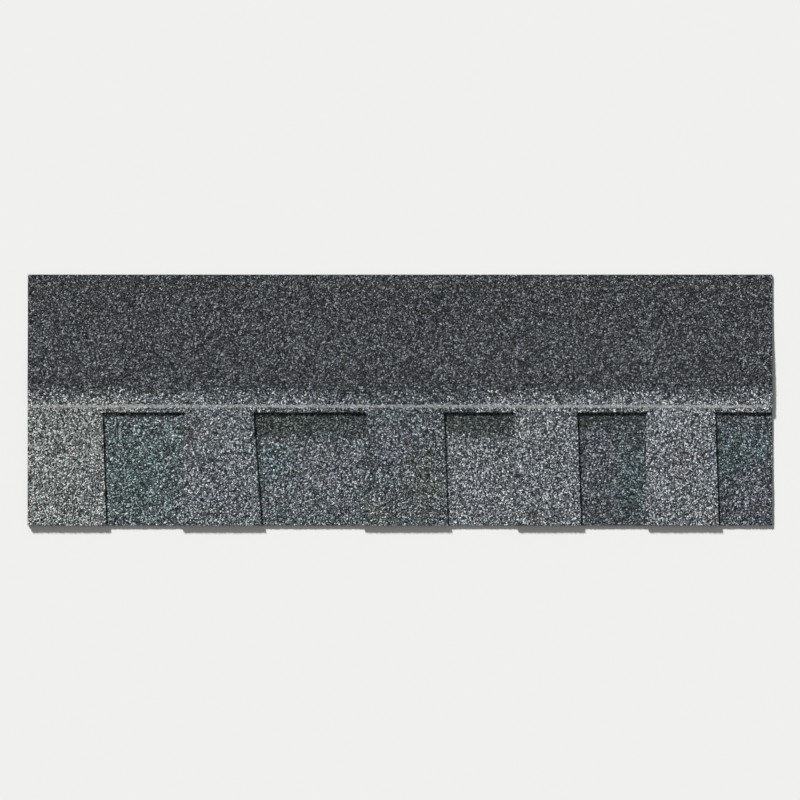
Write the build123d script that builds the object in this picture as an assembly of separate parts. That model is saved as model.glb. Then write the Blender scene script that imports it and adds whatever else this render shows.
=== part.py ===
"""Laminated asphalt roof shingle: one shingle, lying face up on a level floor.

Two plies of granule-surfaced asphalt sheet are glued into one strip. The overlay is the full
height, and its lower half is cut into flared teeth. The underlay is a narrower strip behind the
teeth, and shows in the slots between them. Lines of laminating asphalt join the plies. Under the
butt edge is a row of self-seal dashes, and under the top edge a strip of release film.

Millimetres. +X runs along the butt edge to the right, +Y up the roof slope and +Z out of the
exposed face. The origin is under the middle of the shingle, on the floor.
"""

import os

from build123d import *

# Driving dimensions
LENGTH = 1000.0  # along the butt edge
HEIGHT = 337.0  # from the butt edge to the top edge
UNDERLAY_HEIGHT = 178.0  # leaves 26 mm of double ply above the slots, where the nails go
SLOT_DEPTH = 152.0  # 9 mm more than the 143 mm of each course that shows on a roof
PLY = 2.7  # one ply, granules included
GLUE = 0.3  # laminating asphalt between the plies

# Teeth of the overlay: left and right side at the closed end of the slots, then how far each side
# has moved outwards at the butt edge. The teeth flare, as a sheet cut into two interlocking
# overlays gives them.
TEETH = (
    (0.0, 100.5, 0.0, 5.0),
    (211.0, 303.0, 7.0, 11.0),
    (455.0, 559.0, 7.0, 5.0),
    (654.0, 738.0, 0.0, 5.0),
    (831.0, 923.0, 1.5, 5.0),
)
SLOT_CORNER = 1.5  # radius that the cutting cylinder leaves in a slot's inner corners

# Self-seal dashes under the butt edge
SEAL_THICKNESS = 0.8
SEAL_WIDTH = 13.0
SEAL_INSET = 9.0  # from the butt edge
SEAL_DASH = 62.0
SEAL_GAP = 13.0
SEAL_COUNT = 13
SEAL_CORNER = 5.9  # radius of a dash's nearly round ends
SEAL_EDGE = 0.3  # rounded shoulder of a dash

# Release film under the top edge, where it meets the dashes of the next shingle in a bundle
FILM_THICKNESS = 0.1
FILM_WIDTH = 32.0
FILM_INSET = 6.0  # from the top edge

# Laminating asphalt, as lines along the shingle: distance from the butt edge, and width
GLUE_LINES = ((16.0, 12.0), (72.0, 10.0), (128.0, 10.0), (157.0, 14.0))
GLUE_INSET = 4.0  # how far short of the shingle's ends the lines stop

# How the soft strip lies: level over the dashes, down to the floor behind them, level as far as
# the underlay's top edge, then down again as one ply
DASH_SHELF = 32.0
DASH_RAMP_END = 92.0
EDGE_SHELF = UNDERLAY_HEIGHT + 3.0
EDGE_RAMP_END = 292.0

BUTT_Y = -HEIGHT / 2
LEFT_X = -LENGTH / 2
CUT_HEIGHT = 4 * PLY  # of the tools that cut through the strip, which is two plies thick
CUT_PAST = 5.0  # how far those tools run out past the strip's edges


def ramp(start, end):
    """Two tangent arcs from start to end, level at both ends: the line of a limp sheet."""
    middle = (start[0] + end[0]) / 2, (start[1] + end[1]) / 2
    first = TangentArc(start, middle, tangent=(1, 0))
    return first, TangentArc(middle, end, tangent=first % 1)


def sheet(profile, thickness):
    """A sheet of one thickness along the whole shingle, whose underside follows a profile.

    The profile is a list of points (distance from the butt edge, height above the floor). It is
    level from one point to the next where their heights agree, and otherwise a ramp.
    """

    def line_at(lift):
        edges = []
        for a, b in zip(profile[:-1], profile[1:]):
            start, end = (a[0], a[1] + lift), (b[0], b[1] + lift)
            edges.extend([Line(start, end)] if a[1] == b[1] else ramp(start, end))
        return edges

    low, high = profile[0], profile[-1]
    outline = [
        *line_at(0.0),
        Line((high[0], high[1]), (high[0], high[1] + thickness)),
        *line_at(thickness),
        Line((low[0], low[1]), (low[0], low[1] + thickness)),
    ]
    section = Plane.YZ * make_face(outline)
    return Pos(LEFT_X, BUTT_Y, 0) * extrude(section, amount=LENGTH)


def underlay_profile():
    """Underside of the underlay."""
    return [
        (0.0, SEAL_THICKNESS),
        (DASH_SHELF, SEAL_THICKNESS),
        (DASH_RAMP_END, 0.0),
        (UNDERLAY_HEIGHT, 0.0),
    ]


def overlay_profile():
    """Underside of the overlay: one ply and the glue above the underlay, then down to the film."""
    on_underlay = PLY + GLUE
    return [
        (0.0, SEAL_THICKNESS + on_underlay),
        (DASH_SHELF, SEAL_THICKNESS + on_underlay),
        (DASH_RAMP_END, on_underlay),
        (EDGE_SHELF, on_underlay),
        (EDGE_RAMP_END, FILM_THICKNESS),
        (HEIGHT, FILM_THICKNESS),
    ]


def slot_outlines():
    """Each slot's left and right side at its closed end, then at the butt edge.

    A slot lies between one tooth and the next. The last is open to the shingle's right end, which
    stands in for a next tooth.
    """
    slots = []
    for tooth, after in zip(TEETH, TEETH[1:] + ((LENGTH, LENGTH, 0.0, 0.0),)):
        slots.append((tooth[1], after[0], tooth[1] + tooth[3], after[0] - after[2]))
    return slots


def slot_cutter(slot):
    """A prism over one slot, run out past the butt edge and, for the last, past the end."""
    root_left, root_right, butt_left, butt_right = slot
    slope_left = (butt_left - root_left) / SLOT_DEPTH
    slope_right = (butt_right - root_right) / SLOT_DEPTH
    at_end = CUT_PAST if root_right == LENGTH else 0.0
    outline = Polyline(
        (root_left, SLOT_DEPTH),
        (root_right + at_end, SLOT_DEPTH),
        (butt_right + slope_right * CUT_PAST + at_end, -CUT_PAST),
        (butt_left + slope_left * CUT_PAST, -CUT_PAST),
        close=True,
    )
    face = make_face(outline)
    inner = [v for v in face.vertices() if v.Y > 0 and v.X < LENGTH]
    face = fillet(inner, SLOT_CORNER)
    return Pos(LEFT_X, BUTT_Y, 0) * extrude(face, amount=CUT_HEIGHT)


def overlay():
    """Full-height ply with its teeth."""
    ply = sheet(overlay_profile(), PLY)
    for slot in slot_outlines():
        ply -= slot_cutter(slot)
    return ply


def underlay():
    """Plain strip behind the teeth."""
    return sheet(underlay_profile(), PLY)


def laminating_asphalt():
    """Glue lines between the plies, left out where a slot shows the underlay."""
    profile = [(y, z + PLY) for y, z in underlay_profile()]
    film = sheet(profile, GLUE)
    lines = []
    for inset, width in GLUE_LINES:
        window = Box(LENGTH - 2 * GLUE_INSET, width, CUT_HEIGHT)
        lines.append(film & Pos(0, BUTT_Y + inset + width / 2, CUT_HEIGHT / 2) * window)
    glue = Compound(children=[s for line in lines for s in line.solids()])
    for slot in slot_outlines():
        glue -= slot_cutter(slot)
    return glue


def seal_dashes():
    """Row of self-seal asphalt dashes under the butt edge."""
    pitch = SEAL_DASH + SEAL_GAP
    centre_y = BUTT_Y + SEAL_INSET + SEAL_WIDTH / 2
    dash = extrude(RectangleRounded(SEAL_DASH, SEAL_WIDTH, SEAL_CORNER), amount=SEAL_THICKNESS)
    dash = chamfer(dash.edges().group_by(Axis.Z)[0], SEAL_EDGE)
    first = -pitch * (SEAL_COUNT - 1) / 2
    return Compound(
        children=[Pos(first + i * pitch, centre_y, 0) * dash for i in range(SEAL_COUNT)]
    )


def release_film():
    """Strip of film under the top edge."""
    centre_y = BUTT_Y + HEIGHT - FILM_INSET - FILM_WIDTH / 2
    return Pos(0, centre_y, FILM_THICKNESS / 2) * Box(LENGTH, FILM_WIDTH, FILM_THICKNESS)


PIECES = {
    "overlay_ply": overlay,
    "underlay_ply": underlay,
    "laminating_asphalt": laminating_asphalt,
    "seal_dashes": seal_dashes,
    "release_film": release_film,
}

os.makedirs("parts", exist_ok=True)
for name, make in PIECES.items():
    export_step(make(), f"parts/{name}.step")
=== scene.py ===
"""Looks of a laminated asphalt shingle: its granules, asphalt, back and a pale studio floor.

The file is laid out as an add-on and run as a script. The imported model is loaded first. Every new
piece is worked out from it in metres and in its frame: +X along the butt edge, +Y up the roof
slope, +Z out of the exposed face. Distances called "up" start at the butt edge, and distances
called "along" start at the shingle's left end.
"""

import bpy
import numpy as np
from bpy.props import FloatProperty, FloatVectorProperty, IntProperty, PointerProperty
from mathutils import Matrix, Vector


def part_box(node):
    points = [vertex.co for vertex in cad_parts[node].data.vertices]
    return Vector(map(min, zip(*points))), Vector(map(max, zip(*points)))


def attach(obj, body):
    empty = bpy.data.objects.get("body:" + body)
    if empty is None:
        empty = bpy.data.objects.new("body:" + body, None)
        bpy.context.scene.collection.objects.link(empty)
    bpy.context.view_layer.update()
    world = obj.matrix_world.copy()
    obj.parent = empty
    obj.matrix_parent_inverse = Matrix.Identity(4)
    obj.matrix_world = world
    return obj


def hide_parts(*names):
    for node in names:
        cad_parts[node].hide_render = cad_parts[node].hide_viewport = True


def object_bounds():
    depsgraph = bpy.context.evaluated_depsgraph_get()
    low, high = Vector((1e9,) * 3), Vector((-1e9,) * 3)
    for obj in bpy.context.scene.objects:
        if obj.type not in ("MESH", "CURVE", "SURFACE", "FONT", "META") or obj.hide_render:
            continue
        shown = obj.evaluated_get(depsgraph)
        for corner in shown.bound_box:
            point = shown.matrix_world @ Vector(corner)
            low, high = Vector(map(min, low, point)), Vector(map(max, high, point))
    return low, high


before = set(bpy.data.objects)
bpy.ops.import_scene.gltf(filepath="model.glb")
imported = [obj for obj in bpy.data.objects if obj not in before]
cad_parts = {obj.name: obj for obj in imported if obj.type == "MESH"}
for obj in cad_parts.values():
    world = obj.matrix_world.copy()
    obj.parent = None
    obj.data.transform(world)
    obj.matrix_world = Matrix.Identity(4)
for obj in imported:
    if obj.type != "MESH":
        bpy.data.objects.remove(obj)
CAD_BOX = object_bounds()

bl_info = {
    "name": "Laminated asphalt shingle",
    "version": (1, 0, 0),
    "blender": (4, 5, 0),
    "location": "3D View > Sidebar > Shingle",
    "description": "Granules, asphalt, back and studio floor of one laminated roof shingle",
    "category": "Add Mesh",
}

MM = 0.001
TOUCH = 0.01 * MM  # places that are nearer than this count as one
LOW, HIGH = (np.array(corner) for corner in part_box("overlay_ply"))
LENGTH = float(HIGH[0] - LOW[0])
HEIGHT = float(HIGH[1] - LOW[1])
UNDERLAY_HEIGHT = float(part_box("underlay_ply")[1][1] - LOW[1])

# The outline of the overlay, as part.py cuts it. For each tooth: its left and right side at the
# closed end of the slots, and how far each has moved outwards at the butt edge.
SLOT_DEPTH = 152 * MM
SLOT_CORNER = 1.5 * MM
TEETH = np.array(
    (
        (0.0, 100.5, 0.0, 5.0),
        (211.0, 303.0, 7.0, 11.0),
        (455.0, 559.0, 7.0, 5.0),
        (654.0, 738.0, 0.0, 5.0),
        (831.0, 923.0, 1.5, 5.0),
    )
) * MM

# How the granule coats are divided and meshed
COAT_TOP = 203 * MM  # up the tooth coats, past the nail line
HEADLAP_PANELS = 4
UNDERLAY_CUTS = np.array((0.0, 230.0, 480.0, 690.0, 885.0, 1000.0)) * MM  # at the ends and under teeth
SLOT_MARGIN = 4 * MM  # of fine granules that reach under the teeth and the headlap
HIDDEN_CELL = 5 * MM  # width of a cell between the plies
STRAY = 0.3  # share of a cell by which points are moved at random
WIDE = 2 * MM  # distance between points from which they stay where they are
SKIRT = 0.25 * MM  # how far a coat's walls reach into the asphalt

# The relief of the granules, in shares of its height
LOWEST_TOP = 0.45  # of a granule
LOWEST = 0.03  # where a granule is missing
GAP_DEPTH = 0.5
GAP_WIDTH = 0.3  # share of the pitch
SLOPE_LENGTH = 0.5 * MM  # over which a slope of 1 climbs the whole relief

# The map that a coat is baked through
BAKE_MAP = "OFBake"
MARGIN = 0.012  # share of it kept for the walls, on each side
UNDER_SHARE = 0.02  # share of it kept for the hidden bottom


def srgb(red, green, blue):
    """A colour read off a picture, from 0 to 255, as the linear colour that Blender takes."""
    shown = np.array((red, green, blue)) / 255
    linear = np.where(shown <= 0.04045, shown / 12.92, ((shown + 0.055) / 1.055) ** 2.4)
    return tuple(float(v) for v in linear)


def colour(name, description, *shown):
    """A colour property with a default as seen."""
    limits = {"size": 3, "min": 0, "max": 1, "subtype": "COLOR"}
    return FloatVectorProperty(name=name, description=description, default=srgb(*shown), **limits)


def number(name, description, default, **kind):
    """A property for a number, with its unit or subtype if it has one."""
    return FloatProperty(name=name, description=description, default=default, **kind)


def length(name, description, default):
    """A length property, its default in millimetres."""
    return number(name, description, default * MM, unit="LENGTH", precision=5)


class GranuleSettings(bpy.types.PropertyGroup):
    """Sizes of the mineral granules and of the mesh that shows them."""

    pitch: length("Granule pitch", "Mean distance between the middles of granules", 1.5)
    relief: length("Relief", "Height from the gaps between granules to their tips", 0.55)
    cell: length("Cell", "Width of a mesh cell where granules show", 0.88)
    chip: length("Chipped edge", "How far granules break away from a cut edge", 0.35)
    tilt: number("Tilt", "Spread of the slopes of granule tops", 0.3)
    clumping: number("Clumping", "How far neighbours share their tone", 0.8)
    broken: number("Broken share", "Share of granules in smaller pieces", 0.3, subtype="FACTOR")
    bare: number("Bare share", "Share of granules that are missing", 0.006, subtype="FACTOR")
    bare_edge: number("Bare at edges", "Share missing beside a cut edge", 0.16, subtype="FACTOR")
    seed: IntProperty(name="Seed", description="Start of the random draws", default=11)


class ColourSettings(bpy.types.PropertyGroup):
    """Mean colours of the granule mixes and of the bare materials."""

    tooth_1: colour("Tooth 1", "Light warm grey mix", 142, 150, 148)
    tooth_2: colour("Tooth 2", "Lilac grey mix", 115, 122, 128)
    tooth_3: colour("Tooth 3", "Mid grey mix", 95, 101, 106)
    tooth_4: colour("Tooth 4", "Grey mix", 122, 128, 135)
    tooth_5: colour("Tooth 5", "Light cool grey mix", 130, 136, 143)
    slot_1: colour("Slot 1", "Dark teal mix", 104, 112, 115)
    slot_2: colour("Slot 2", "Slate mix", 105, 112, 117)
    slot_3: colour("Slot 3", "Grey mix", 126, 132, 138)
    slot_4: colour("Slot 4", "Dark slate mix", 84, 90, 94)
    slot_5: colour("Slot 5", "Dark slate mix", 85, 90, 95)
    shadow: colour("Shadow band", "Dark mix at the closed end of the slots", 70, 76, 75)
    headlap: colour("Headlap", "Dark slag above the nail line", 74, 77, 80)
    teal: colour("Teal", "Patches of teal granules", 84, 106, 108)
    olive: colour("Olive", "Patches of olive granules", 106, 110, 99)
    lilac: colour("Lilac", "Patches of lilac granules", 116, 115, 126)
    warm: colour("Warm", "Patches of warm pale granules", 132, 132, 123)
    paint: colour("Nail line", "Paint of the nail line", 196, 197, 194)
    asphalt: colour("Asphalt", "Bare filled asphalt", 24, 24, 25)
    dust: colour("Back dust", "Fine mineral dust on the back", 104, 101, 95)
    mat: colour("Glass mat", "Glass fibres in a cut edge", 150, 146, 134)
    seal: colour("Seal", "Glossy asphalt of the self-seal dashes", 14, 14, 15)
    glue: colour("Glue", "Laminating asphalt between the plies", 12, 12, 12)
    skin: colour("Glue skin", "Dull skin of the laminating asphalt", 40, 39, 38)
    film: colour("Film", "Release film over asphalt", 120, 124, 127)
    haze: colour("Film haze", "Cloudy patches of the release film", 188, 192, 194)


class StageSettings(bpy.types.PropertyGroup):
    """Floor, lights and camera."""

    floor: colour("Floor", "Colour of the floor, as the camera sees it", 243, 243, 242)
    bounce: colour("Floor bounce", "Colour of the floor, as its light reaches the shingle", 215, 215, 214)
    reach: number("Floor reach", "Radius of the floor", 14, unit="LENGTH")
    sun: number("Key light", "Strength of the key light", 5.3)
    softness: number("Softness", "Angle that the key light fills", np.radians(7), subtype="ANGLE")
    fill: number("Fill light", "Strength of the light all round", 0.22)
    share: number("Picture share", "Share of the picture that the shingle spans", 0.93)
    camera_height: number("Camera height", "Height of the camera above the floor", 5, unit="LENGTH")


SETTINGS = {
    "shingle_granules": GranuleSettings,
    "shingle_colours": ColourSettings,
    "shingle_stage": StageSettings,
}


# The shape of the shingle


def guide_lines(up):
    """Where the ends of the shingle and the sides of its teeth run, along, at each distance up.

    A side of a tooth is straight: its place at the closed end of the slots, plus its flare in
    proportion to the distance below that end. Beside the closed end a quarter circle of the slot's
    corner radius is added towards the slot, and above it that bulge dies away again.
    """
    sides = TEETH[:, :2].ravel()[1:]
    flares = (TEETH[:, 2:] * (-1, 1)).ravel()[1:]
    root = np.concatenate(([0.0], sides, [LENGTH]))
    flare = np.concatenate(([0.0], flares, [0.0]))
    to_slot = np.concatenate(([0.0], np.resize((1.0, -1.0), len(sides)), [0.0]))
    below = np.clip(1 - up / SLOT_DEPTH, 0, 1)
    into = np.clip(up - (SLOT_DEPTH - SLOT_CORNER), 0, SLOT_CORNER)
    corner = SLOT_CORNER - np.sqrt(SLOT_CORNER**2 - into**2)
    fading = np.exp(-np.maximum(up - SLOT_DEPTH, 0) / (2 * SLOT_CORNER))
    return root + below[:, None] * flare + (corner * fading)[:, None] * to_slot


def along(up, places):
    """Places given as guide line numbers, such as 2.5 for midway between lines 2 and 3, as
    distances along the shingle at each distance up: the straight mix of the two lines."""
    lines = guide_lines(up)
    first = np.minimum(places.astype(int), lines.shape[1] - 2)
    share = places - first
    return lines[:, first] * (1 - share) + lines[:, first + 1] * share


def section(node):
    """A ply's section, off the left end of its CAD solid: distances up, undersides and tops."""
    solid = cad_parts[node]
    points = np.empty(3 * len(solid.data.vertices))
    solid.data.vertices.foreach_get("co", points)
    world = np.array(solid.matrix_world)
    points = points.reshape(-1, 3) @ world[:3, :3].T + world[:3, 3]
    end = points[points[:, 0] < LOW[0] + TOUCH]
    places = np.round(end[:, 1] - LOW[1], 6)
    rows = []
    for up in np.unique(places):
        heights = end[places == up, 2]
        if np.ptp(heights) > MM:
            rows.append((up, heights.min(), heights.max()))
    return np.array(rows).T


def steps(marks, widths):
    """Rising distances through all the marks, each gap cut evenly into cells of about its width."""
    parts = [
        np.linspace(a, b, max(1, round((b - a) / width)), endpoint=False)
        for a, b, width in zip(marks[:-1], marks[1:], widths)
    ]
    return np.concatenate((*parts, marks[-1:]))


def index_of(values, wanted):
    """The index of the value that is nearest the one wanted."""
    return int(np.argmin(np.abs(values - wanted)))


# Granules


class GranuleField:
    """Granules of one ply: a point strewn in each square of a board whose squares are one pitch
    wide, with a top height and a slope for each."""

    def __init__(self, settings, seed):
        draw = np.random.default_rng(seed)
        self.pitch = settings.pitch
        board = (int(HEIGHT / self.pitch) + 5, int(LENGTH / self.pitch) + 5)
        self.place = draw.uniform(0.04, 0.96, (*board, 2))
        self.top = LOWEST_TOP + (1 - LOWEST_TOP) * draw.beta(2, 1.6, board)
        self.slope = draw.normal(0, settings.tilt, (*board, 2))
        self.luck = draw.uniform(0, 1, board)

    def nearest(self, x, y):
        """The granule nearest each point: its row, its column, the offset of the point from its
        middle, and how much further the next granule is. All nine squares round the point are
        tried."""
        column = np.floor(x / self.pitch).astype(int) + 1
        row = np.floor(y / self.pitch).astype(int) + 1
        best = np.full((5, *x.shape), np.inf)
        second = np.full(x.shape, np.inf)
        for down in (-1, 0, 1):
            for right in (-1, 0, 1):
                j = np.clip(row + down, 0, self.top.shape[0] - 1)
                i = np.clip(column + right, 0, self.top.shape[1] - 1)
                dx = x - (i - 1 + self.place[j, i, 0]) * self.pitch
                dy = y - (j - 1 + self.place[j, i, 1]) * self.pitch
                away = np.hypot(dx, dy)
                closer = away < best[0]
                second = np.where(closer, best[0], np.minimum(second, away))
                best = np.where(closer, np.array((away, j, i, dx, dy)), best)
        return best[1].astype(int), best[2].astype(int), best[3], best[4], second - best[0]

    def heights(self, x, y, bare):
        """Relief from 0, in a gap, to 1, at a tip: the granule's top plus its slope times the
        offset from its middle, lowered near the border with the next granule."""
        j, i, dx, dy, border = self.nearest(x, y)
        sloped = (self.slope[j, i, 0] * dx + self.slope[j, i, 1] * dy) / SLOPE_LENGTH
        gap = GAP_DEPTH * np.clip(1 - border / (GAP_WIDTH * self.pitch), 0, 1) ** 2
        relief = np.clip(self.top[j, i] + sloped - gap, LOWEST, 1)
        return np.where(self.luck[j, i] < bare, LOWEST, relief)


class Ply:
    """One ply's granules over a lattice of rows, up, and columns, in guide line numbers.

    Its edges say, for along and for up, which points lie on a cut edge: 1 or -1, by the way that
    is inwards. Those points are chipped inwards at random, and all others stray a little.
    """

    def __init__(self, node, up, places, edges, seed):
        settings = bpy.context.scene.shingle_granules
        draw = np.random.default_rng(settings.seed + seed)
        field = GranuleField(settings, settings.seed + seed + 1)
        x = along(up, places)
        y = np.broadcast_to(up[:, None], x.shape).copy()
        on_edge = edges != 0
        stray = STRAY * settings.cell
        x += np.where(on_edge[0], 0, draw.uniform(-stray, stray, x.shape) * self.fine(x))
        y += np.where(on_edge[1], 0, draw.uniform(-stray, stray, x.shape) * self.fine(y.T).T)
        chips = settings.chip * draw.beta(1, 2, x.shape)
        x += edges[0] * chips
        y += edges[1] * chips
        self.edge = self.spread(on_edge.any(0))
        bare = settings.bare + settings.bare_edge * self.edge
        where, _, tops = section(node)
        top = np.interp(y, where, tops)
        self.z = top - settings.relief * (1 - field.heights(x, y, bare))
        self.x, self.y, self.node = x, y, node
        self.low = np.interp(up, where, tops) - settings.relief - SKIRT

    @staticmethod
    def fine(x):
        """1 where a lattice's columns are close together, falling to 0 where they are wide."""
        gap = np.maximum(np.gradient(x, axis=1), 10 * TOUCH)
        return np.clip(WIDE / gap - 1, 0, 1)

    @staticmethod
    def spread(mask):
        """The mask plus 0.4 of each point's four neighbours, so that it is grown and softened."""
        padded = np.pad(mask.astype(float), 1)
        cross = padded[:-2, 1:-1] + padded[2:, 1:-1] + padded[1:-1, :-2] + padded[1:-1, 2:]
        return np.clip(padded[1:-1, 1:-1] + 0.4 * cross, 0, 1)

    def coat(self, name, rows, columns, build):
        """A closed coat over a block of the lattice, with the finish that a function builds.

        Its top is the lattice itself. Walls drop from its four sides to a hidden bottom, which is
        one long strip under each row of cells. The front and back walls are one face each.
        """
        j0, j1 = rows
        i0, i1 = columns
        block = (slice(j0, j1 + 1), slice(i0, i1 + 1))
        top = np.stack((self.x[block], self.y[block], self.z[block]), -1)
        tall, wide = top.shape[:2]
        left, right = top[:, 0].copy(), top[:, -1].copy()
        left[:, 2] = right[:, 2] = self.low[j0 : j1 + 1]
        points = np.concatenate((top.reshape(-1, 3), left, right))
        points[:, :2] += LOW[:2]
        index = np.arange(tall * wide).reshape(tall, wide)
        below_left = tall * wide + np.arange(tall)
        below_right = below_left + tall

        def quads(*corners):
            return np.stack([c.ravel() for c in corners], 1)

        top_faces = quads(index[:-1, :-1], index[:-1, 1:], index[1:, 1:], index[1:, :-1])
        left_faces = quads(index[:-1, 0], index[1:, 0], below_left[1:], below_left[:-1])
        right_faces = quads(index[1:, -1], index[:-1, -1], below_right[:-1], below_right[1:])
        under_faces = quads(below_left[:-1], below_left[1:], below_right[1:], below_right[:-1])
        front = np.concatenate((index[0, ::-1], below_left[:1], below_right[:1]))
        back = np.concatenate((index[-1], below_right[-1:], below_left[-1:]))
        four = np.concatenate((top_faces, left_faces, right_faces, under_faces))
        corners = np.concatenate((four.ravel(), front, back))
        sizes = np.concatenate((np.full(len(four), 4), (len(front), len(back))))
        mesh = mesh_of(name, points, corners, sizes)
        uv = bake_places(tall, wide)[corners]
        under = slice(4 * (len(four) - len(under_faces)), 4 * len(four))
        uv[under, 1] *= UNDER_SHARE
        layer = mesh.uv_layers.new(name=BAKE_MAP)
        layer.uv.foreach_set("vector", uv.astype(np.float32).ravel())
        edge = self.edge[block]
        hold(mesh, "edge", np.concatenate((edge.ravel(), edge[:, 0], edge[:, -1])))
        place(name, mesh, build.__name__, self.node, build)


def bake_places(tall, wide):
    """Map places of a coat's vertices: its top spread evenly over the map by row and column, with
    the walls in a narrow margin round it and the lowest stretch left free for its bottom."""
    u = np.linspace(MARGIN, 1 - MARGIN, wide)
    v = np.linspace(UNDER_SHARE + 2 * MARGIN, 1 - MARGIN, tall)
    top = np.stack(np.meshgrid(u, v), -1).reshape(-1, 2)
    left = np.stack((np.zeros(tall), v), 1)
    left[0, 1] -= MARGIN
    left[-1, 1] = 1
    return np.concatenate((top, left, left + (1, 0)))


def mesh_of(name, points, corners, sizes):
    """A flat-shaded mesh from points, the corners of all faces in turn, and each face's size."""
    mesh = bpy.data.meshes.new(name)
    mesh.vertices.add(len(points))
    mesh.vertices.foreach_set("co", points.astype(np.float32).ravel())
    mesh.loops.add(len(corners))
    mesh.loops.foreach_set("vertex_index", corners.astype(np.int32))
    mesh.polygons.add(len(sizes))
    starts = np.concatenate(([0], np.cumsum(sizes)[:-1]))
    mesh.polygons.foreach_set("loop_start", starts.astype(np.int32))
    mesh.update(calc_edges=True)
    if mesh.validate():
        raise RuntimeError(f"{name} has faces that Blender can't hold")
    mesh.shade_flat()
    return mesh


def hold(mesh, name, values):
    """Keeps a number for each point in the mesh, for the materials to read."""
    held = mesh.attributes.new(name, "FLOAT", "POINT")
    held.data.foreach_set("value", values.astype(np.float32))


def new_object(name, data):
    """A new object in the scene."""
    made = bpy.data.objects.new(name, data)
    bpy.context.scene.collection.objects.link(made)
    return made


def place(name, mesh, slot, node, *finishes):
    """The mesh as a piece that rides on the shingle, stands for a CAD node and has its finishes."""
    for build in finishes:
        mesh.materials.append(material_once(build))
    piece = new_object(name, mesh)
    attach(piece, "root")
    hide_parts(node)


def outer_edges(up, places):
    """The cut edges round a lattice, as a Ply takes them."""
    edges = np.zeros((2, len(up), len(places)))
    edges[0, :, 0] = 1
    edges[0, :, -1] = -1
    edges[1, 0] = 1
    edges[1, -1] = -1
    return edges


def overlay_lattice():
    """The overlay's rows, columns and cut edges. Columns keep to the sides of the teeth."""
    cell = bpy.context.scene.shingle_granules.cell
    up = steps(np.array((0, SLOT_DEPTH, COAT_TOP, HEIGHT)), (cell, cell, cell))
    lines = guide_lines(np.array([SLOT_DEPTH / 2]))[0]
    counts = np.maximum(1, np.round(np.diff(lines) / cell)).astype(int)
    starts = np.concatenate(([0], np.cumsum(counts)))
    places = np.concatenate([k + np.arange(n) / n for k, n in enumerate(counts)] + [[len(counts)]])
    closed = index_of(up, SLOT_DEPTH)
    edges = outer_edges(up, places)
    for k in range(1, len(counts)):
        edges[0, : closed + 1, starts[k]] = -1 if k % 2 else 1
    for k in range(1, len(counts), 2):
        edges[1, closed, starts[k] : starts[k + 1] + 1] = 1
    return up, places, starts, closed, edges


def underlay_lattice():
    """The underlay's rows, columns and cut edges: fine in the slots and wide under the teeth."""
    cell = bpy.context.scene.shingle_granules.cell
    up = steps(np.array((0, SLOT_DEPTH + SLOT_MARGIN, UNDERLAY_HEIGHT)), (cell, HIDDEN_CELL))
    lines = guide_lines(np.array([SLOT_DEPTH / 2]))[0]
    marks, widths = [0.0], []
    for left, right in zip(lines[1:-1:2], lines[2::2]):
        marks += [left - SLOT_MARGIN, min(right + SLOT_MARGIN, lines[-1])]
        widths += [HIDDEN_CELL, cell]
    columns = steps(np.array(marks), widths)
    places = np.interp(columns, lines, np.arange(len(lines)))
    cuts = [index_of(columns, cut) for cut in UNDERLAY_CUTS]
    return up, places, cuts, outer_edges(up, places)


# The asphalt sheets under the granules


def sheet(name, node, slotted):
    """One ply without its granules, as a closed shell on a lattice of rows and guide lines.

    The underside is the CAD solid's, and the top is the CAD top less the relief. Cells in the
    slots are left out, and a wall stands wherever a kept cell has no kept neighbour.
    """
    relief = bpy.context.scene.shingle_granules.relief
    where, under, over = section(node)
    by_corner = SLOT_DEPTH - SLOT_CORNER * np.array((1, 0.75, 0.5, 0.25, 0.1, 0, -1, -4))
    up = np.unique(np.round(np.concatenate((where, by_corner)), 6))
    lines = guide_lines(up)
    places = np.arange(lines.shape[1]) if slotted else np.array((0, lines.shape[1] - 1))
    x = lines[:, places]
    y = np.broadcast_to(up[:, None], x.shape)
    top = np.broadcast_to(np.interp(up, where, over)[:, None] - relief, x.shape)
    bottom = np.broadcast_to(np.interp(up, where, under)[:, None], x.shape)
    kept = np.ones((len(up) - 1, len(places) - 1), bool)
    if slotted:
        kept[up[1:] <= SLOT_DEPTH + TOUCH, 1::2] = False
    points, faces, kind = shell(np.stack((x, y, top), -1), np.stack((x, y, bottom), -1), kept)
    points[:, :2] += LOW[:2]
    mesh = mesh_of(name, points, faces.ravel(), np.full(len(faces), 4))
    mesh.polygons.foreach_set("material_index", kind.astype(np.int32))
    hold(mesh, "depth", np.repeat((1, 0), len(points) // 2))
    place(name, mesh, "laminating_asphalt", node, cut_asphalt, dusted_back)


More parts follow.
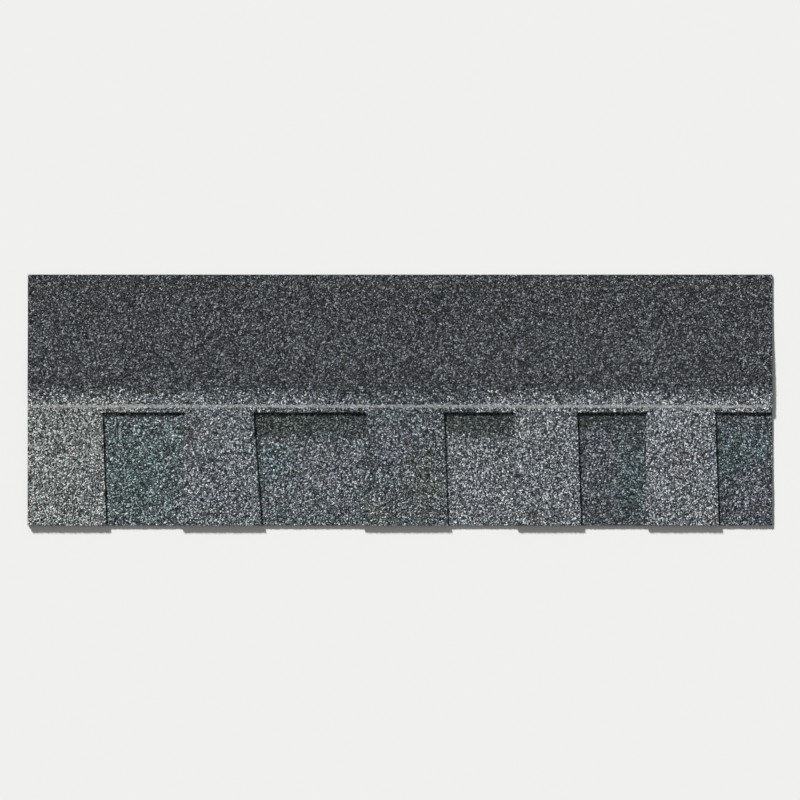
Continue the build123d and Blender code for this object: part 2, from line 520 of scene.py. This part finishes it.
def shell(top, bottom, kept):
    """Points, four-cornered faces and the kind of each face, 1 for the underside and 0 elsewhere,
    of the closed shell between two lattices, with only the kept cells."""
    rows, columns = top.shape[:2]
    upper = np.arange(rows * columns).reshape(rows, columns)
    lower = upper + rows * columns
    padded = np.pad(kept, 1)
    here, left = padded[1:-1, 1:], padded[1:-1, :-1]
    above, below = padded[1:, 1:-1], padded[:-1, 1:-1]

    def walls(a, b, mask):
        """Walls under the edges from a to b, where the mask says."""
        return np.stack([v[mask] for v in (a[0], b[0], b[1], a[1])], 1)

    j, i = np.nonzero(kept)
    tops = np.stack((upper[j, i], upper[j, i + 1], upper[j + 1, i + 1], upper[j + 1, i]), 1)
    unders = np.stack((lower[j, i], lower[j + 1, i], lower[j + 1, i + 1], lower[j, i + 1]), 1)
    near, far = (upper[:-1], lower[:-1]), (upper[1:], lower[1:])
    west, east = (upper[:, :-1], lower[:, :-1]), (upper[:, 1:], lower[:, 1:])
    across = np.concatenate((walls(near, far, here & ~left), walls(far, near, left & ~here)))
    lengthways = np.concatenate((walls(east, west, above & ~below), walls(west, east, below & ~above)))
    faces = np.concatenate((tops, across, lengthways, unders))
    kind = np.arange(len(faces)) >= len(faces) - len(unders)
    used = np.unique(faces)
    points = np.concatenate((top.reshape(-1, 3), bottom.reshape(-1, 3)))[used]
    return points, np.searchsorted(used, faces), kind


# Materials: node helpers


def feed(tree, socket, value):
    """Links a socket to a socket, or sets it to a value."""
    if isinstance(value, bpy.types.NodeSocket):
        tree.links.new(value, socket)
    elif value is not None:
        socket.default_value = value


def add(tree, kind, **settings):
    """A node of this kind, with its properties set and its inputs fed, all by name."""
    node = tree.nodes.new(f"ShaderNode{kind}")
    for name, value in settings.items():
        if hasattr(node, name):
            setattr(node, name, value)
        else:
            feed(tree, node.inputs[name.replace("_", " ")], value)
    return node


def wired(tree, kind, values, **settings):
    """The outputs of a node whose inputs are fed in order. None leaves one as it is."""
    node = add(tree, kind, **settings)
    for socket, value in zip(node.inputs, values):
        feed(tree, socket, value)
    return node.outputs


def maths(tree, operation, *values, clamp=False):
    """The output of a Math node whose inputs are sockets or numbers."""
    return wired(tree, "Math", values, operation=operation, use_clamp=clamp)[0]


def vectors(tree, operation, *values):
    """The output of a Vector Math node: a number for a length or a dot product."""
    outputs = wired(tree, "VectorMath", values, operation=operation)
    return outputs["Value" if operation in ("LENGTH", "DOT_PRODUCT") else "Vector"]


def scale(tree, vector, factor):
    """A vector or colour times a number."""
    return wired(tree, "VectorMath", (vector,), operation="SCALE", Scale=factor)["Vector"]


def between(tree, share, low, high):
    """A number that runs from low to high as the share runs from 0 to 1."""
    return maths(tree, "MULTIPLY_ADD", share, high - low, low)


def about(tree, share, spread):
    """A number that runs over the spread, half of it below 0, as the share runs from 0 to 1."""
    return maths(tree, "MULTIPLY", maths(tree, "SUBTRACT", share, 0.5), spread)


def share_over(tree, value, limit, share):
    """The share where the value is over the limit, and 0 elsewhere."""
    return maths(tree, "MULTIPLY", maths(tree, "GREATER_THAN", value, limit), share)


def redrawn(tree, drawn, times):
    """Another random number from 0 to 1: the fractional part of a drawn one times a number."""
    return maths(tree, "FRACT", maths(tree, "MULTIPLY", drawn, times))


def blend(tree, share, a, b):
    """Number a turned into number b by a share."""
    return wired(tree, "Mix", (share, None, a, b), data_type="FLOAT")[0]


def mix(tree, share, a, b, how="MIX"):
    """Colour a turned into colour b by a share."""
    values = (share, *(None,) * 5, opaque(a), opaque(b))
    return wired(tree, "Mix", values, data_type="RGBA", blend_type=how)[2]


def opaque(value):
    """A colour of three numbers with its alpha, and anything else as it is."""
    return value if isinstance(value, bpy.types.NodeSocket) else (*value[:3], 1)


def ramp(tree, factor, stops, interpolation="LINEAR"):
    """A colour ramp over rising stops of (place, colour)."""
    node = add(tree, "ValToRGB", Fac=factor)
    bar = node.color_ramp
    bar.interpolation = interpolation
    while len(bar.elements) < len(stops):
        bar.elements.new(1)
    for element, (at, _) in zip(bar.elements, stops):
        element.position = at
    for element, (_, shade) in zip(bar.elements, stops):
        element.color = (*shade, 1)
    return node.outputs[0]


def group(name, inputs, outputs, build):
    """A shader node group with named sockets, built once.

    An input has a number, its default, or the kind of its socket, and an output has its kind.
    build gets the tree and a dictionary of the input sockets, and returns what is put out.
    """
    tree = bpy.data.node_groups.get(name)
    if tree:
        return tree
    tree = bpy.data.node_groups.new(name, "ShaderNodeTree")
    for title, given in inputs.items():
        kind = given if isinstance(given, str) else "Float"
        socket = tree.interface.new_socket(name=title, in_out="INPUT", socket_type=f"NodeSocket{kind}")
        if kind == "Float":
            socket.default_value = given
    for title, kind in outputs.items():
        tree.interface.new_socket(name=title, in_out="OUTPUT", socket_type=f"NodeSocket{kind}")
    enter = tree.nodes.new("NodeGroupInput")
    leave = tree.nodes.new("NodeGroupOutput")
    results = build(tree, {title: enter.outputs[title] for title in inputs})
    for title, result in zip(outputs, results):
        tree.links.new(result, leave.inputs[title])
    return tree


def use(tree, made, **values):
    """The outputs of a group placed in a tree, with its inputs fed by name."""
    return add(tree, "Group", node_tree=made, **values).outputs


def object_place(tree):
    """The place on the shingle, in metres from its frame's origin."""
    return add(tree, "TexCoord").outputs["Object"]


def noise(tree, size, detail=2.0, seed=0.0, roughness=0.5):
    """Noise in space whose features are about this size."""
    fineness = maths(tree, "DIVIDE", 1.0, size)
    settings = {"Scale": fineness, "Detail": detail, "Roughness": roughness, "W": seed}
    node = add(tree, "TexNoise", noise_dimensions="4D", Vector=object_place(tree), **settings)
    return node.outputs[0]


# Materials: shared effects


def wandering_border():
    """Distance plus a slow wander and a random step for each granule, so that a border drawn
    through the result runs unevenly and mixes the granules on its two sides."""

    def build(tree, given):
        drift = about(tree, noise(tree, given["Size"], 3.0, given["Seed"]), given["Wander"])
        step = about(tree, given["Pick"], given["Mixing"])
        return [maths(tree, "ADD", maths(tree, "ADD", given["Distance"], drift), step)]

    inputs = {"Distance": 0.0, "Pick": 0.5, "Wander": 0.02, "Size": 0.04, "Mixing": 0.02, "Seed": 0.0}
    return group("Wandering border", inputs, {"Distance": "Float"}, build)


PATCH_MIDDLE = 1.3
PATCH_BORDER = 0.5
PATCH_CLOUD = 1.2  # spread of the noise
PATCH_LOOSE = 0.9  # spread of the picks


def tinted_patch():
    """A patch where many granules have another colour: nearly all of them in its middle, and ever
    fewer towards its cloudy border. A granule is in it where the level is over that of the
    border. The level is that of the middle, less the distance from there in half widths, plus a
    slow noise and the granule's own pick."""

    def build(tree, given):
        offset = vectors(tree, "SUBTRACT", given["Place"], given["Middle"])
        away = vectors(tree, "LENGTH", vectors(tree, "DIVIDE", offset, given["Reach"]))
        level = maths(tree, "SUBTRACT", PATCH_MIDDLE, away)
        cloud = about(tree, noise(tree, 14 * MM, 2.0, given["Seed"]), PATCH_CLOUD)
        loose = about(tree, given["Pick"], PATCH_LOOSE)
        level = maths(tree, "ADD", maths(tree, "ADD", level, cloud), loose)
        share = share_over(tree, level, PATCH_BORDER, given["Strength"])
        return [mix(tree, share, given["Colour"], given["Tint"])]

    inputs = dict.fromkeys(("Colour", "Tint"), "Color")
    inputs |= dict.fromkeys(("Place", "Middle", "Reach"), "Vector")
    inputs |= {"Pick": 0.5, "Strength": 0.8, "Seed": 0.0}
    return group("Tinted patch", inputs, {"Colour": "Color"}, build)


# The granule pattern. Lengths are in granule sizes.
SLIDE = (1.0, 0.8, 0.0)  # of the pattern for each step of height, which keeps streaks off walls
STIR_FINENESS = 1.6  # of the noise that makes the borders ragged
RAGGEDNESS = 0.55  # how far it moves them
SMALLER = 2.1  # how many times finer a broken granule is
CLUMP = 2.2  # size of a clump of one tone
GAP = 0.09  # width of the gap beside a granule
GAP_DROP = 0.3  # its depth
LEVELS = 0.25  # spread of the granules' heights
SLOPES = 0.9  # strength of their slopes
HALF = (0.5, 0.5, 0.5)


def crushed_granules():
    """Angular granules packed side by side, as the cells of a Voronoi pattern with ragged borders.

    Tone, pick and luck are three numbers drawn for each cell. A share of the cells is broken into
    cells of about half the size. Gap is 1 on a border and falls to 0 inside. Height, in units of
    the size, is a random level, plus a random slope times the offset from the cell's middle, less
    the gap. Clumps of tone run over several granules.
    """

    def build(tree, given):
        where = object_place(tree)
        lift = vectors(tree, "DOT_PRODUCT", where, (0, 0, 1))
        where = vectors(tree, "ADD", where, scale(tree, SLIDE, lift))
        scaled = scale(tree, where, maths(tree, "DIVIDE", 1.0, given["Size"]))
        stir = {"noise_dimensions": "2D", "Scale": STIR_FINENESS, "Detail": 2.0}
        stirred = add(tree, "TexNoise", Vector=scaled, **stir).outputs["Color"]
        moved = scale(tree, vectors(tree, "SUBTRACT", stirred, HALF), RAGGEDNESS)
        ragged = vectors(tree, "ADD", scaled, moved)
        whole, broken = cells(tree, ragged, 1.0), cells(tree, ragged, SMALLER)
        split = maths(tree, "LESS_THAN", whole["Luck"], given["Broken"])
        drawn = {name: blend(tree, split, whole[name], broken[name]) for name in whole}
        drawn["Gap"] = maths(tree, "MAXIMUM", whole["Gap"], drawn["Gap"])
        clump = noise(tree, maths(tree, "MULTIPLY", given["Size"], CLUMP), 1.0, 0.7)
        lean = about(tree, clump, given["Clumping"])
        drawn["Tone"] = maths(tree, "ADD", drawn["Tone"], lean, clamp=True)
        return drawn.values()

    outputs = dict.fromkeys(("Tone", "Pick", "Luck", "Gap", "Height"), "Float")
    inputs = {"Size": 0.0015, "Broken": 0.3, "Clumping": 0.8}
    return group("Crushed granules", inputs, outputs, build)


def cells(tree, where, fineness):
    """What one Voronoi pattern gives crushed_granules, for cells that are smaller by a fineness."""
    fine = scale(tree, where, fineness)
    pattern = {"voronoi_dimensions": "2D", "Vector": fine, "Scale": 1.0}
    inner = add(tree, "TexVoronoi", feature="F1", **pattern).outputs
    outer = add(tree, "TexVoronoi", feature="DISTANCE_TO_EDGE", **pattern).outputs
    tone, pick, luck = add(tree, "SeparateColor", Color=inner["Color"]).outputs
    lean = vectors(tree, "SUBTRACT", inner["Color"], HALF)
    offset = vectors(tree, "SUBTRACT", fine, inner["Position"])
    offset = vectors(tree, "MULTIPLY", offset, (1, 1, 0))
    sloped = maths(tree, "MULTIPLY", vectors(tree, "DOT_PRODUCT", lean, offset), SLOPES)
    near = maths(tree, "DIVIDE", outer["Distance"], GAP * fineness)
    gap = maths(tree, "SUBTRACT", 1.0, maths(tree, "MINIMUM", near, 1.0))
    level = maths(tree, "MULTIPLY_ADD", luck, LEVELS, sloped)
    height = maths(tree, "DIVIDE", maths(tree, "MULTIPLY_ADD", gap, -GAP_DROP, level), fineness)
    return {"Tone": tone, "Pick": pick, "Luck": luck, "Gap": gap, "Height": height}


# The colours of granules: brightness by tone, in times the mix colour, and hue by pick
TONE_STOPS = (
    (0.0, 0.05),
    (0.14, 0.09),
    (0.34, 0.24),
    (0.55, 0.64),
    (0.72, 1.5),
    (0.86, 3.0),
    (0.95, 4.5),
    (1.0, 5.6),
)
BRIGHTEST = TONE_STOPS[-1][1]
PALEST = 0.8  # share of the light that the palest granules give back
HUES = (
    (0.0, (1.0, 0.96, 1.07)),
    (0.3, (0.95, 1.01, 1.04)),
    (0.6, (0.97, 1.04, 0.99)),
    (0.8, (1.07, 1.0, 0.93)),
    (1.0, (1.0, 1.0, 1.0)),
)
HUE_ROOM = 1.1  # what hues are divided by, to keep them under 1 on their way
GAP_ASPHALT_AND_SHADE = 0.8  # how far the asphalt colour covers a gap: bare asphalt, and painted shade between granules


def granule_colour():
    """One granule's colour and roughness: the mix colour times a brightness that its tone picks
    from a ramp, dark ones and pale ones being few, and a faint hue that its pick chooses. Asphalt
    colour shows where a granule's luck is less than the share that is missing, and in the gaps,
    where it is partly bare asphalt and partly painted shade that falls between granules."""

    def build(tree, given):
        level = ramp(tree, given["Tone"], [(at, (v / BRIGHTEST,) * 3) for at, v in TONE_STOPS])
        hues = [(at, tuple(v / HUE_ROOM for v in shade)) for at, shade in HUES]
        hue = ramp(tree, redrawn(tree, given["Pick"], 7.0), hues)
        shade = mix(tree, 1.0, given["Mix Colour"], hue, "MULTIPLY")
        stone = scale(tree, shade, maths(tree, "MULTIPLY", level, HUE_ROOM * BRIGHTEST))
        stone = vectors(tree, "MINIMUM", stone, (PALEST,) * 3)
        missing = maths(tree, "LESS_THAN", given["Luck"], given["Missing"])
        # The gaps take the asphalt colour: partly bare asphalt, partly painted shade between granules.
        bare = maths(tree, "MAXIMUM", missing, maths(tree, "MULTIPLY", given["Gap"], GAP_ASPHALT_AND_SHADE))
        rough = between(tree, redrawn(tree, given["Pick"], 31.0), 0.55, 0.95)
        return [mix(tree, bare, stone, given["Asphalt"]), rough]

    inputs = {"Mix Colour": "Color", "Asphalt": "Color", "Gap": 0.0, "Missing": 0.0}
    inputs |= dict.fromkeys(("Tone", "Pick", "Luck"), 0.5)
    return group("Granule colour", inputs, {"Colour": "Color", "Roughness": "Float"}, build)


def fine_grit():
    """Grit that is finer than the mesh: a fast noise with a slower one under it."""

    def build(tree, given):
        fast = noise(tree, given["Size"], 3.0, 1.7, 0.65)
        slow = noise(tree, maths(tree, "MULTIPLY", given["Size"], 6.0), 2.0, 4.1)
        return [maths(tree, "MULTIPLY_ADD", slow, given["Unevenness"], fast), fast]

    inputs = {"Size": 0.0005, "Unevenness": 0.5}
    return group("Fine grit", inputs, {"Height": "Float", "Speckle": "Float"}, build)


# Materials: finishes


def new_material(name):
    """A material with an empty node tree."""
    material = bpy.data.materials.new(name)
    material.use_nodes = True
    material.node_tree.nodes.clear()
    return material


def material_once(build):
    """The material that a function builds, given its node tree and the colours. It is built only
    once, and its name isn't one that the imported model's own materials have."""
    name = f"{build.__name__}_finish"
    if name not in bpy.data.materials:
        build(new_material(name).node_tree, bpy.context.scene.shingle_colours)
    return bpy.data.materials[name]


def shader(tree, shade, rough, normal=None, **plain):
    """The shader and its output, with a colour, a roughness, a normal and plain values."""
    made = add(tree, "BsdfPrincipled", Base_Color=shade, Roughness=rough, Normal=normal, **plain)
    add(tree, "OutputMaterial", Surface=made.outputs[0])


def bump(tree, height, depth, strength):
    """The normal of a bump of this depth, in millimetres."""
    node = add(tree, "Bump", Strength=strength, Distance=depth * MM, Height=height)
    return node.outputs[0]


def grit_of(tree, size, unevenness):
    """The height and the speckle of grit of this size, in millimetres."""
    return use(tree, fine_grit(), Size=size * MM, Unevenness=unevenness)


def attribute(tree, name):
    """A number that the mesh holds under this name."""
    return add(tree, "Attribute", attribute_name=name).outputs["Fac"]


def object_distances(tree):
    """Sockets with the place on the shingle, and its distances along the shingle and up it."""
    start = (float(LOW[0]), float(LOW[1]), 0.0)
    on_face = vectors(tree, "SUBTRACT", object_place(tree), start)
    on_face = vectors(tree, "MULTIPLY", on_face, (1, 1, 0))
    split = add(tree, "SeparateXYZ", Vector=on_face).outputs
    return on_face, split[0], split[1]


def wandering(tree, distance, pick, wander, size, mixing, seed):
    """A distance put through the wandering border, whose sizes are in millimetres."""
    sizes = {"Wander": wander * MM, "Size": size * MM, "Mixing": mixing * MM}
    return use(tree, wandering_border(), Distance=distance, Pick=pick, Seed=seed, **sizes)[0]


def in_turn(tree, right, borders, shades):
    """One shade after another along a ply, changing at the borders."""
    stops = [(at / LENGTH, tuple(shade)) for at, shade in zip((0.0, *borders), shades)]
    return ramp(tree, maths(tree, "DIVIDE", right, LENGTH), stops, "CONSTANT")


def drops(tree, tints, grains, kind, borders, seed, tinted):
    """Colour drops along a ply: one mix after another, with uneven borders where they mingle, and
    with the tinted patches that a table gives. Also the distances along the ply and up it."""
    on_face, right, up = object_distances(tree)
    shifted = wandering(tree, right, grains["Pick"], 60, 45, 22, seed)
    mixes = [getattr(tints, f"{kind}_{n + 1}") for n in range(len(TEETH))]
    shade = in_turn(tree, shifted, borders, mixes)
    for tint, first_seed, strength, spots in tinted:
        for count, spot in enumerate(spots):
            along_it, up_it, half_width, half_height = (value * MM for value in spot)
            shade = use(
                tree,
                tinted_patch(),
                Colour=shade,
                Tint=opaque(getattr(tints, tint)),
                Pick=grains["Pick"],
                Place=on_face,
                Middle=(along_it, up_it, 0.0),
                Reach=(half_width, half_height, 1.0),
                Strength=strength,
                Seed=first_seed + count,
            )[0]
    return shade, right, up


def band(tree, up, pick, edge, wander, mixing, seed):
    """1 for granules above a wandering line across the shingle, and 0 below it."""
    return maths(tree, "GREATER_THAN", wandering(tree, up, pick, wander, 30, mixing, seed), edge)


# Where patches of tinted granules lie. Each row has a tint, a seed, how strongly granules take the
# tint, and for each patch its distances along and up and half its width and height, in millimetres.
ON_TEETH = (
    ("olive", 3.0, 0.45, ((535, 60, 34, 60), (470, 20, 30, 30))),
    ("warm", 13.0, 0.4, ((228, 126, 30, 24), (916, 10, 16, 16), (668, 128, 24, 26), (672, 12, 24, 22))),
    ("lilac", 23.0, 0.35, ((255, 60, 48, 50), (85, 62, 26, 26), (500, 110, 40, 30), (880, 90, 40, 40))),
)
IN_SLOTS = (
    ("teal", 5.0, 0.45, ((148, 78, 66, 84), (322, 92, 30, 36), (812, 66, 28, 46))),
    ("teal", 8.0, 0.45, ((942, 96, 26, 38), (978, 108, 30, 28))),
    ("lilac", 35.0, 0.35, ((410, 70, 60, 50), (765, 90, 36, 60), (980, 40, 34, 40), (610, 60, 50, 60))),
)
SHADOW_FROM = (146, 119, 121, 131, 148)  # up, where the dark band starts in each slot, in millimetres
HEADLAP_FROM = 176 * MM  # up, where the dark slag starts
PAINT_UP = 160 * MM
PAINT_WIDTH = 4 * MM


def granules(tree):
    """Sockets with what each granule of a coat has, by name, and the share that is missing."""
    settings = bpy.context.scene.shingle_granules
    sizes = {"Size": settings.pitch, "Broken": settings.broken, "Clumping": settings.clumping}
    grains = {socket.name: socket for socket in use(tree, crushed_granules(), **sizes)}
    edge = attribute(tree, "edge")
    grains["Missing"] = maths(tree, "MULTIPLY_ADD", edge, settings.bare_edge, settings.bare)
    return grains


def surface(tree, tints, grains, shade, painted=None):
    """The shader of the granules, with paint where there is any."""
    drawn = {name: socket for name, socket in grains.items() if name != "Height"}
    shown, rough = use(tree, granule_colour(), Mix_Colour=shade, Asphalt=opaque(tints.asphalt), **drawn)
    if painted:
        shown = mix(tree, painted, shown, tints.paint)
    height = maths(tree, "MULTIPLY_ADD", grit_of(tree, 0.35, 0.4)[0], 0.06, grains["Height"])
    size = bpy.context.scene.shingle_granules.pitch / MM
    shader(tree, shown, rough, bump(tree, height, size, 0.8), Specular_IOR_Level=0.35)


def overlay_granules(tree, tints):
    """Drops of grey mixes on the teeth, dark slag on the headlap, and the painted nail line."""
    grains = granules(tree)
    slot_middles = (TEETH[:-1, 1] + TEETH[1:, 0]) / 2
    shade, _, up = drops(tree, tints, grains, "tooth", slot_middles, 0.0, ON_TEETH)
    above = band(tree, up, grains["Pick"], HEADLAP_FROM, 10, 20, 2.0)
    surface(tree, tints, grains, mix(tree, above, shade, tints.headlap), nail_line(tree, up, grains))


def nail_line(tree, up, grains):
    """Share of paint: a narrow, broken line whose edges wander, and which misses the gaps."""
    sides = (PAINT_UP - PAINT_WIDTH / 2, PAINT_UP + PAINT_WIDTH / 2)
    lower, upper = (band(tree, up, grains["Pick"], side, 2.5, 2.2, 5.0) for side in sides)
    worn = maths(tree, "ADD", noise(tree, 7 * MM, 2.0, 12.0), grains["Luck"])
    held = maths(tree, "GREATER_THAN", worn, 0.72)
    paint = maths(tree, "MULTIPLY", maths(tree, "SUBTRACT", lower, upper), held)
    return maths(tree, "MULTIPLY", paint, between(tree, grains["Gap"], 0.8, 0.0))


def underlay_granules(tree, tints):
    """Darker drops in the slots, with the dark band that gives their closed ends depth."""
    grains = granules(tree)
    tooth_middles = (TEETH[1:, 0] + TEETH[1:, 1]) / 2
    shade, right, up = drops(tree, tints, grains, "slot", tooth_middles, 6.0, IN_SLOTS)
    start = in_turn(tree, right, tooth_middles, [(value * MM,) * 3 for value in SHADOW_FROM])
    above = band(tree, up, grains["Pick"], start, 14, 18, 7.0)
    surface(tree, tints, grains, mix(tree, above, shade, tints.shadow))


# The glass mat in a cut edge, in shares of the sheet's thickness
MAT_LEVEL = 0.46  # of its line, once grit has lifted it
MAT_WAVES = 0.12
MAT_HALF = 0.035  # half its width
TOP_LEVEL = 0.98  # over this, a face is the sheet's top


def cut_asphalt(tree, tints):
    """A knife-cut edge: black filled asphalt with pale specks and a broken line of glass mat."""
    height, speckle = grit_of(tree, 0.35, 0.8)
    shade = mix(tree, share_over(tree, speckle, 0.62, 0.35), tints.asphalt, tints.dust)
    depth = attribute(tree, "depth")
    off = maths(tree, "SUBTRACT", maths(tree, "MULTIPLY_ADD", height, MAT_WAVES, depth), MAT_LEVEL)
    line = maths(tree, "LESS_THAN", maths(tree, "ABSOLUTE", off), MAT_HALF)
    wall = maths(tree, "MULTIPLY", line, maths(tree, "LESS_THAN", depth, TOP_LEVEL))
    fibres = share_over(tree, noise(tree, 4 * MM, 4.0, 9.0), 0.47, 0.45)
    shade = mix(tree, maths(tree, "MULTIPLY", wall, fibres), shade, tints.mat)
    shader(tree, shade, between(tree, speckle, 0.35, 0.85), bump(tree, height, 0.15, 0.8))


def dusted_back(tree, tints):
    """The back: asphalt under fine dust, which lies in streaks along the run of the sheet."""
    height, speckle = grit_of(tree, 0.45, 0.6)
    stretch = add(tree, "Mapping", Vector=object_place(tree), Scale=(9, 160, 160))
    streaks = add(tree, "TexNoise", Vector=stretch.outputs[0], Scale=1.0, Detail=3.0)
    amount = between(tree, streaks.outputs[0], -0.22, 0.88)
    cover = maths(tree, "ADD", amount, between(tree, speckle, -0.5, 0.9), clamp=True)
    shade = mix(tree, cover, tints.asphalt, tints.dust)
    shader(tree, shade, between(tree, cover, 0.6, 0.95), bump(tree, height, 0.18, 0.8))


def seal_asphalt(tree, tints):
    """Glossy modified asphalt of the dashes, with flow marks and a little dust."""
    height, speckle = grit_of(tree, 1.6, 1.6)
    shade = mix(tree, share_over(tree, speckle, 0.66, 0.3), tints.seal, tints.dust)
    rough = between(tree, speckle, 0.2, 0.7)
    shader(tree, shade, rough, bump(tree, height, 0.2, 0.5), Specular_IOR_Level=0.6)


def laminating_asphalt(tree, tints):
    """The glue between the plies, with the dull skin that it has at a cut."""
    height, speckle = grit_of(tree, 0.8, 1.0)
    shade = mix(tree, speckle, tints.glue, tints.skin)
    shader(tree, shade, between(tree, speckle, 0.3, 0.7), bump(tree, height, 0.15, 0.5))


def release_film(tree, tints):
    """Clear film over asphalt: grey, glossy, with creases across it and cloudy patches."""
    cloud = noise(tree, 18 * MM, 3.0, 2.0)
    creases = bump(tree, noise(tree, 2.5 * MM, 2.0, 6.0), 0.1, 0.4)
    shade = mix(tree, cloud, tints.film, tints.haze)
    rough = between(tree, cloud, 0.08, 0.38)
    shader(tree, shade, rough, creases, Specular_IOR_Level=0.6, Coat_Weight=0.5)


# Operators


class SHINGLE_OT_asphalt_sheets(bpy.types.Operator):
    """Make both plies without their granules: cut asphalt edges and a dusted back"""

    bl_idname = "shingle.asphalt_sheets"
    bl_label = "Asphalt sheets"

    def execute(self, context):
        sheet("overlay_sheet", "overlay_ply", True)
        sheet("underlay_sheet", "underlay_ply", False)
        return {"FINISHED"}


class SHINGLE_OT_overlay_granules(bpy.types.Operator):
    """Make the granule coats of the teeth, of the strips above the slots and of the headlap"""

    bl_idname = "shingle.overlay_granules"
    bl_label = "Overlay granules"

    def execute(self, context):
        up, places, starts, closed, edges = overlay_lattice()
        ply = Ply("overlay_ply", up, places, edges, 0)
        top = index_of(up, COAT_TOP)
        coats = []
        for k in range(len(TEETH)):
            tooth = (starts[2 * k], starts[2 * k + 1])
            gap = (starts[2 * k + 1], starts[2 * k + 2])
            coats.append((f"granules_tooth_{k + 1}", (0, top), tooth))
            coats.append((f"granules_above_slot_{k + 1}", (closed, top), gap))
        cuts = np.linspace(0, len(places) - 1, HEADLAP_PANELS + 1).round().astype(int)
        for k, columns in enumerate(zip(cuts[:-1], cuts[1:])):
            coats.append((f"granules_headlap_{k + 1}", (top, len(up) - 1), columns))
        for coat in coats:
            ply.coat(*coat, overlay_granules)
        return {"FINISHED"}


class SHINGLE_OT_underlay_granules(bpy.types.Operator):
    """Make the granule coats of the underlay, which shows in the slots"""

    bl_idname = "shingle.underlay_granules"
    bl_label = "Underlay granules"

    def execute(self, context):
        up, places, cuts, edges = underlay_lattice()
        ply = Ply("underlay_ply", up, places, edges, 50)
        for k, columns in enumerate(zip(cuts[:-1], cuts[1:])):
            ply.coat(f"granules_slot_{k + 1}", (0, len(up) - 1), columns, underlay_granules)
        return {"FINISHED"}


class SHINGLE_OT_glue_and_film(bpy.types.Operator):
    """Finish the glue lines, the self-seal dashes and the release film"""

    bl_idname = "shingle.glue_and_film"
    bl_label = "Glue, dashes and film"

    def execute(self, context):
        finishes = {
            "laminating_asphalt": laminating_asphalt,
            "seal_dashes": seal_asphalt,
            "release_film": release_film,
        }
        for node, build in finishes.items():
            for material_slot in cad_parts[node].material_slots:
                material_slot.material = material_once(build)
        return {"FINISHED"}


class SHINGLE_OT_stage(bpy.types.Operator):
    """Set out the pale floor, the soft light and the camera that looks straight down"""

    bl_idname = "shingle.stage"
    bl_label = "Studio"

    def execute(self, context):
        settings = context.scene.shingle_stage
        pale_floor(settings)
        lights(settings)
        overhead_camera(settings)
        context.scene.view_settings.view_transform = "Standard"
        return {"FINISHED"}


FLOOR_POINTS = 96  # round its rim
FLOOR_DROP = 0.05 * MM  # below the shingle's lowest point
TO_KEY = np.array((-1.1, 1.8, 1.05))  # the way to the key light


def pale_floor(settings):
    """A round floor: points on a circle, with one face."""
    turn = np.linspace(0, 2 * np.pi, FLOOR_POINTS, endpoint=False)
    rim = np.stack((np.cos(turn), np.sin(turn), np.zeros_like(turn)), 1) * settings.reach
    rim[:, 2] = CAD_BOX[0][2] - FLOOR_DROP
    mesh = mesh_of("floor", rim, np.arange(len(rim)), np.array([len(rim)]))
    material = new_material("floor")
    tree = material.node_tree
    seen = add(tree, "LightPath").outputs["Is Camera Ray"]
    shader(tree, mix(tree, seen, settings.bounce, settings.floor), 0.9, Specular_IOR_Level=0.1)
    mesh.materials.append(material)
    new_object("floor", mesh)


def lights(settings):
    """A key light from the upper left of the picture, low enough for cut edges to cast shadows,
    and a plain world. The world's fill is white, and the camera sees it in the floor's colour."""
    scene = bpy.context.scene
    lamp = bpy.data.lights.new("key", "SUN")
    lamp.energy = settings.sun
    lamp.angle = settings.softness
    heading = np.arctan2(TO_KEY[0], -TO_KEY[1])
    lean = np.arctan2(np.hypot(*TO_KEY[:2]), TO_KEY[2])
    new_object("key", lamp).rotation_euler = (lean, 0, heading)
    scene.world = bpy.data.worlds.new("studio")
    scene.world.use_nodes = True
    tree = scene.world.node_tree
    back = tree.nodes["Background"]
    seen = add(tree, "LightPath").outputs["Is Camera Ray"]
    backdrop = tuple(np.array(settings.floor) / settings.fill)
    feed(tree, back.inputs["Color"], mix(tree, seen, (1, 1, 1), backdrop))
    back.inputs["Strength"].default_value = settings.fill


def overhead_camera(settings):
    """A long lens straight above the middle, so that the shingle is seen square on."""
    lens = bpy.data.cameras.new("camera")
    lens.sensor_width = 36
    lens.lens = lens.sensor_width * settings.camera_height * settings.share / LENGTH
    lens.clip_end = 100
    camera = new_object("camera", lens)
    middle = (LOW + HIGH) / 2
    camera.location = (middle[0], middle[1], settings.camera_height)
    bpy.context.scene.camera = camera


class SHINGLE_PT_panel(bpy.types.Panel):
    """Sidebar panel with the shingle's settings and the steps that make it"""

    bl_idname = "SHINGLE_PT_panel"
    bl_label = "Laminated shingle"
    bl_space_type = "VIEW_3D"
    bl_region_type = "UI"
    bl_category = "Shingle"

    def draw(self, context):
        for settings, kind in SETTINGS.items():
            box = self.layout.box()
            for name in kind.__annotations__:
                box.prop(getattr(context.scene, settings), name)
        for step in STEPS:
            self.layout.operator(step.bl_idname)


STEPS = (
    SHINGLE_OT_stage,
    SHINGLE_OT_asphalt_sheets,
    SHINGLE_OT_overlay_granules,
    SHINGLE_OT_underlay_granules,
    SHINGLE_OT_glue_and_film,
)
CLASSES = (*SETTINGS.values(), *STEPS, SHINGLE_PT_panel)


def register():
    """Makes the settings, the steps and the panel known to Blender."""
    for item in CLASSES:
        bpy.utils.register_class(item)
    for name, kind in SETTINGS.items():
        setattr(bpy.types.Scene, name, PointerProperty(type=kind))


def unregister():
    """Takes them away again."""
    for name in SETTINGS:
        delattr(bpy.types.Scene, name)
    for item in reversed(CLASSES):
        bpy.utils.unregister_class(item)


def main():
    """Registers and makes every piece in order."""
    register()
    bpy.ops.shingle.stage()
    bpy.ops.shingle.asphalt_sheets()
    bpy.ops.shingle.overlay_granules()
    bpy.ops.shingle.underlay_granules()
    bpy.ops.shingle.glue_and_film()


if __name__ == "__main__":
    main()
